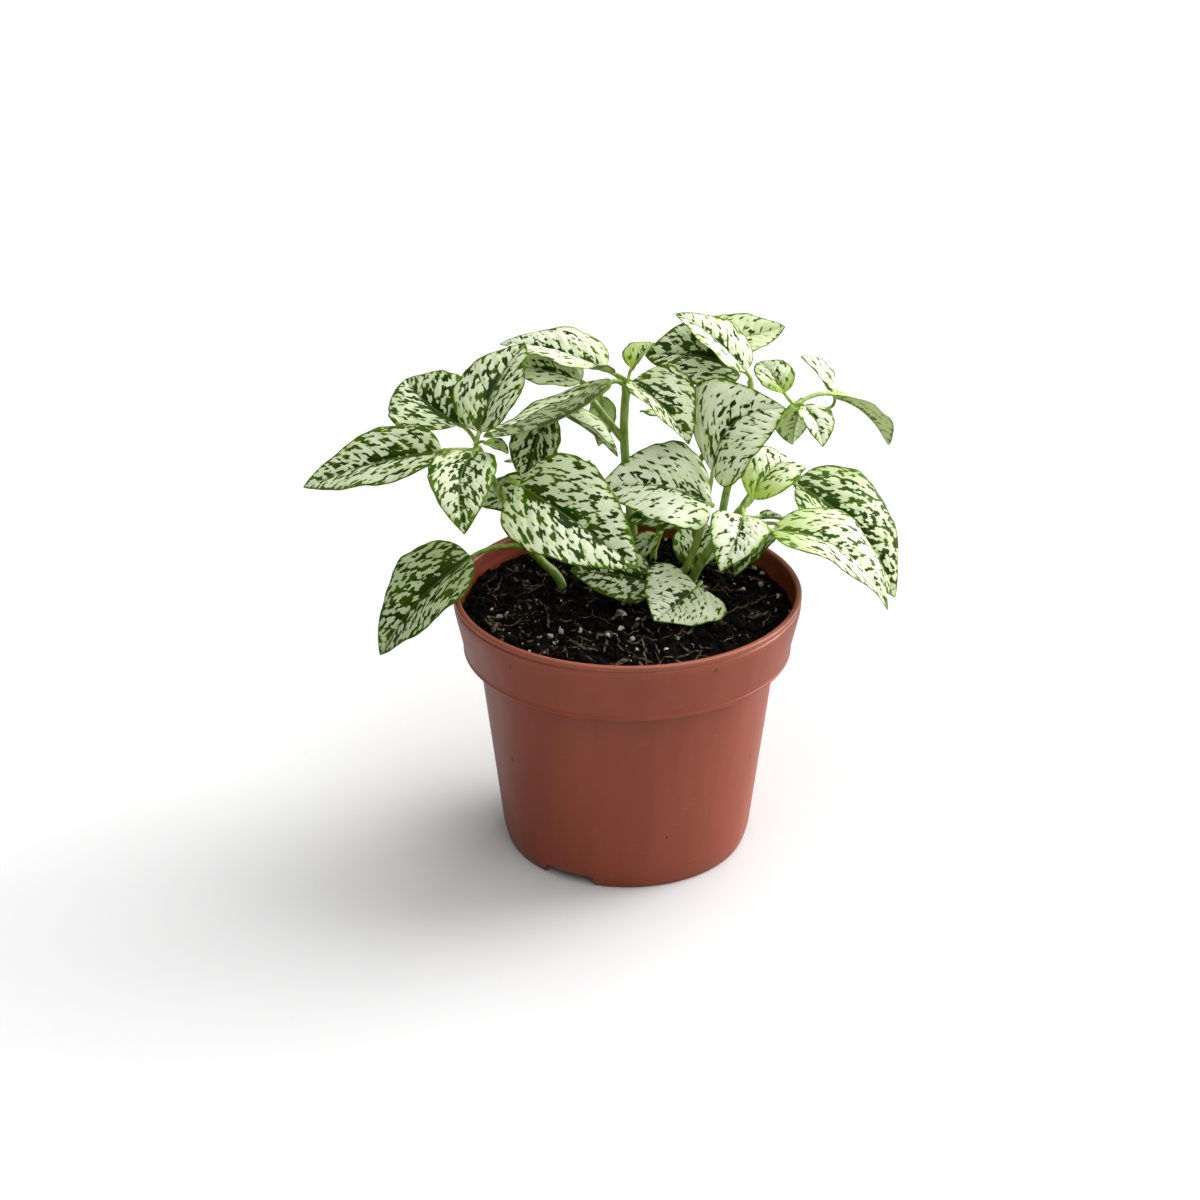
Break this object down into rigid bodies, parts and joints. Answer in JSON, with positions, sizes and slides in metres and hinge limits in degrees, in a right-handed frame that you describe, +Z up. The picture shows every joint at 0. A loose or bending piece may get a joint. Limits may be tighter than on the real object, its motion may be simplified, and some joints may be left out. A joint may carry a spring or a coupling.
{
  "type": "potted polka dot plant",
  "caption": "Potted polka dot plant with white leaves splashed and netted in dark green, on slender green stems, in a terracotta-coloured plastic nursery pot of dark soil.",
  "frame": {"origin": "centre of the pot's foot, on the plane it stands on", "axes": "+Z up along the pot's axis, front of the plant towards -Y, +X to the plant's right as seen from the front"},
  "size_m": [0.1811, 0.1238, 0.1604],
  "materials": {
    "pot_plastic": "satin terracotta-coloured injection-moulded plastic",
    "peat_soil": "moist dark peat with perlite grains and bark shreds",
    "stem_skin": "smooth green, slightly glossy",
    "leaf_blade": "satin white to pale green with dark green blotches along the veins"
  },
  "bodies": {
    "root": {"back_leaf_left": "leaf_blade", "back_leaf_low_left": "leaf_blade", "back_leaf_low_right": "leaf_blade", "back_leaf_middle": "leaf_blade", "back_leaf_right": "leaf_blade", "back_leaf_thin": "leaf_blade", "back_leaf_upper": "leaf_blade", "back_stem": "stem_skin", "centre_leaf_large": "leaf_blade", "crown_leaf_front": "leaf_blade", "crown_leaf_left": "leaf_blade", "crown_leaf_rear": "leaf_blade", "crown_stem": "stem_skin", "far_right_leaf_hanging": "leaf_blade", "far_right_leaf_pale": "leaf_blade", "far_right_leaf_round": "leaf_blade", "far_right_leaf_trailing": "leaf_blade", "far_right_leaf_young": "leaf_blade", "far_right_stem": "stem_skin", "front_leaf_large": "leaf_blade", "front_leaf_low": "leaf_blade", "front_leaf_soil": "leaf_blade", "front_leaf_wide": "leaf_blade", "front_stem": "stem_skin", "inner_leaf_curled": "leaf_blade", "inner_leaf_standing": "leaf_blade", "inner_leaf_tucked": "leaf_blade", "left_leaf_hanging": "leaf_blade", "left_leaf_inner": "leaf_blade", "left_leaf_low": "leaf_blade", "left_leaf_outer": "leaf_blade", "left_leaf_rear": "leaf_blade", "left_leaf_upright": "leaf_blade", "left_leaf_young": "leaf_blade", "left_stem": "stem_skin", "middle_leaf_folded": "leaf_blade", "middle_stem": "stem_skin", "pot": "pot_plastic", "right_leaf_front": "leaf_blade", "right_leaf_hanging": "leaf_blade", "right_leaf_outer": "leaf_blade", "right_leaf_small": "leaf_blade", "right_leaf_under": "leaf_blade", "right_leaf_upright": "leaf_blade", "right_stem": "stem_skin", "soil": "peat_soil", "top_leaf_bud": "leaf_blade", "top_leaf_left": "leaf_blade", "top_leaf_young": "leaf_blade", "upper_left_leaf_folded": "leaf_blade", "upper_left_leaf_hanging": "leaf_blade", "upper_left_leaf_long": "leaf_blade", "upper_left_leaf_white": "leaf_blade", "upper_left_stem": "stem_skin"}
  },
  "joints": []
}
